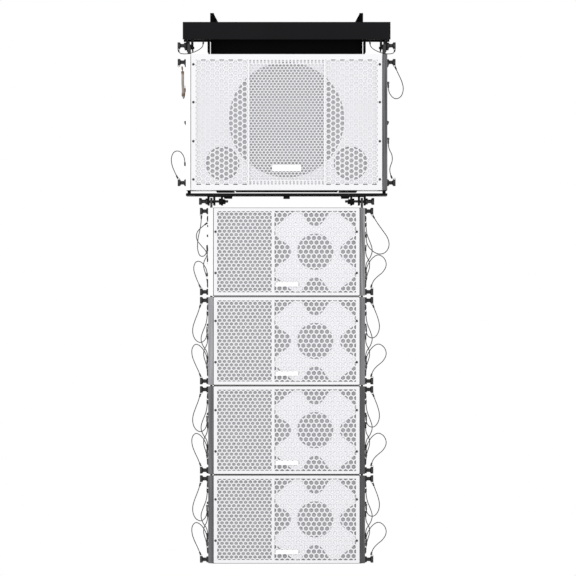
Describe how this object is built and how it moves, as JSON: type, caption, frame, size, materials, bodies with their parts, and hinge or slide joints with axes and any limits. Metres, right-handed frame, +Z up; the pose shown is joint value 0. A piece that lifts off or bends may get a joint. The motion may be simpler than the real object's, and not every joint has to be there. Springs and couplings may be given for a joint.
{
  "type": "line array speaker",
  "caption": "Flown line array speaker: fly frame, bass cabinet and adapter frame over hinged wedge-sided two-way modules, with quick-release pins on wire lanyards.",
  "frame": {"origin": "on the axis of the centre pickup hole, midway between the two pickup rails", "axes": "+Z up, the grilles face -Y, +X to the right seen from the audience"},
  "size_m": [0.7581, 0.5814, 1.7911],
  "materials": {
    "black_powder": "black textured powder coat, slightly scuffed",
    "link_steel": "black oxide flat steel bar",
    "white_cabinet": "white textured polyurea paint on plywood",
    "baffle_board": "dark painted plywood with a white phase plate before it",
    "white_grille": "white powder-coated perforated steel",
    "plate_white": "white enamelled steel side tray",
    "plate_grey": "grey enamelled steel side tray",
    "plate_dark": "dark grey enamelled steel side tray, streaked",
    "basket_black": "black stamped steel basket and magnet",
    "cone_paper": "dark treated paper cone with a half-roll surround",
    "waveguide_plastic": "light grey moulded plastic",
    "jack_plate": "black steel connector plate",
    "pin_black": "black anodised quick-release pin",
    "bolt_black": "black oxide shoulder bolt",
    "lanyard_wire": "thin stranded wire under a clear sleeve"
  },
  "bodies": {
    "root": {"fly_frame": "black_powder", "pickup_rails": "black_powder", "head_links": "link_steel", "sub_cabinet": "white_cabinet", "sub_jack_plate": "jack_plate", "sub_baffle": "baffle_board", "sub_woofer": "basket_black", "sub_grille": "white_grille", "sub_side_plates": "plate_white", "adapter_frame": "black_powder", "adapter_ears": "black_powder", "rear_bolts": "bolt_black", "head_lanyards": "lanyard_wire"},
    "head_left_pins": {"head_left_pins": "pin_black"},
    "head_right_pins": {"head_right_pins": "pin_black"},
    "sub_cone": {"sub_cone": "cone_paper"},
    "module_1": {"module_1_cabinet": "white_cabinet", "module_1_baffle": "baffle_board", "module_1_woofer": "basket_black", "module_1_waveguide": "waveguide_plastic", "module_1_grille": "white_grille", "module_1_side_plates": "plate_white", "module_1_links": "link_steel", "module_1_lanyards": "lanyard_wire"},
    "module_1_cone": {"module_1_cone": "cone_paper"},
    "module_1_left_pins": {"module_1_left_pins": "pin_black"},
    "module_1_right_pins": {"module_1_right_pins": "pin_black"},
    "module_2": {"module_2_cabinet": "white_cabinet", "module_2_baffle": "baffle_board", "module_2_woofer": "basket_black", "module_2_waveguide": "waveguide_plastic", "module_2_grille": "white_grille", "module_2_side_plates": "plate_grey", "module_2_links": "link_steel", "module_2_lanyards": "lanyard_wire"},
    "module_2_cone": {"module_2_cone": "cone_paper"},
    "module_2_left_pins": {"module_2_left_pins": "pin_black"},
    "module_2_right_pins": {"module_2_right_pins": "pin_black"},
    "module_3": {"module_3_cabinet": "white_cabinet", "module_3_baffle": "baffle_board", "module_3_woofer": "basket_black", "module_3_waveguide": "waveguide_plastic", "module_3_grille": "white_grille", "module_3_side_plates": "plate_dark", "module_3_links": "link_steel", "module_3_lanyards": "lanyard_wire"},
    "module_3_cone": {"module_3_cone": "cone_paper"},
    "module_3_left_pins": {"module_3_left_pins": "pin_black"},
    "module_3_right_pins": {"module_3_right_pins": "pin_black"},
    "module_4": {"module_4_cabinet": "white_cabinet", "module_4_baffle": "baffle_board", "module_4_woofer": "basket_black", "module_4_waveguide": "waveguide_plastic", "module_4_grille": "white_grille", "module_4_side_plates": "plate_dark", "module_4_links": "link_steel", "module_4_lanyards": "lanyard_wire"},
    "module_4_cone": {"module_4_cone": "cone_paper"},
    "module_4_left_pins": {"module_4_left_pins": "pin_black"},
    "module_4_right_pins": {"module_4_right_pins": "pin_black"}
  },
  "joints": [
    {"name": "head_left_pins_pull", "type": "slide", "parent": "root", "child": "head_left_pins", "axis": [-1, 0, 0], "range_m": [0, 0.045]},
    {"name": "head_right_pins_pull", "type": "slide", "parent": "root", "child": "head_right_pins", "axis": [1, 0, 0], "range_m": [0, 0.045]},
    {"name": "sub_cone_travel", "type": "slide", "parent": "root", "child": "sub_cone", "axis": [0, 1, 0], "range_m": [-0.004, 0.004], "stiffness_N_per_m": 6000},
    {"name": "module_1_tilt", "type": "hinge", "parent": "root", "child": "module_1", "pos_m": [0, -0.25, -0.6291], "axis": [1, 0, 0], "range_deg": [0, 5]},
    {"name": "module_1_cone_travel", "type": "slide", "parent": "module_1", "child": "module_1_cone", "axis": [0, 1, 0], "range_m": [-0.004, 0.004], "stiffness_N_per_m": 3000},
    {"name": "module_1_left_pins_pull", "type": "slide", "parent": "module_1", "child": "module_1_left_pins", "axis": [-1, 0, 0], "range_m": [0, 0.045]},
    {"name": "module_1_right_pins_pull", "type": "slide", "parent": "module_1", "child": "module_1_right_pins", "axis": [1, 0, 0], "range_m": [0, 0.045]},
    {"name": "module_2_tilt", "type": "hinge", "parent": "module_1", "child": "module_2", "pos_m": [0, -0.25, -0.9191], "axis": [1, 0, 0], "range_deg": [0, 8]},
    {"name": "module_2_cone_travel", "type": "slide", "parent": "module_2", "child": "module_2_cone", "axis": [0, 1, 0], "range_m": [-0.004, 0.004], "stiffness_N_per_m": 3000},
    {"name": "module_2_left_pins_pull", "type": "slide", "parent": "module_2", "child": "module_2_left_pins", "axis": [-1, 0, 0], "range_m": [0, 0.045]},
    {"name": "module_2_right_pins_pull", "type": "slide", "parent": "module_2", "child": "module_2_right_pins", "axis": [1, 0, 0], "range_m": [0, 0.045]},
    {"name": "module_3_tilt", "type": "hinge", "parent": "module_2", "child": "module_3", "pos_m": [0, -0.25, -1.2091], "axis": [1, 0, 0], "range_deg": [0, 8]},
    {"name": "module_3_cone_travel", "type": "slide", "parent": "module_3", "child": "module_3_cone", "axis": [0, 1, 0], "range_m": [-0.004, 0.004], "stiffness_N_per_m": 3000},
    {"name": "module_3_left_pins_pull", "type": "slide", "parent": "module_3", "child": "module_3_left_pins", "axis": [-1, 0, 0], "range_m": [0, 0.045]},
    {"name": "module_3_right_pins_pull", "type": "slide", "parent": "module_3", "child": "module_3_right_pins", "axis": [1, 0, 0], "range_m": [0, 0.045]},
    {"name": "module_4_tilt", "type": "hinge", "parent": "module_3", "child": "module_4", "pos_m": [0, -0.25, -1.4991], "axis": [1, 0, 0], "range_deg": [0, 8]},
    {"name": "module_4_cone_travel", "type": "slide", "parent": "module_4", "child": "module_4_cone", "axis": [0, 1, 0], "range_m": [-0.004, 0.004], "stiffness_N_per_m": 3000},
    {"name": "module_4_left_pins_pull", "type": "slide", "parent": "module_4", "child": "module_4_left_pins", "axis": [-1, 0, 0], "range_m": [0, 0.045]},
    {"name": "module_4_right_pins_pull", "type": "slide", "parent": "module_4", "child": "module_4_right_pins", "axis": [1, 0, 0], "range_m": [0, 0.045]}
  ]
}
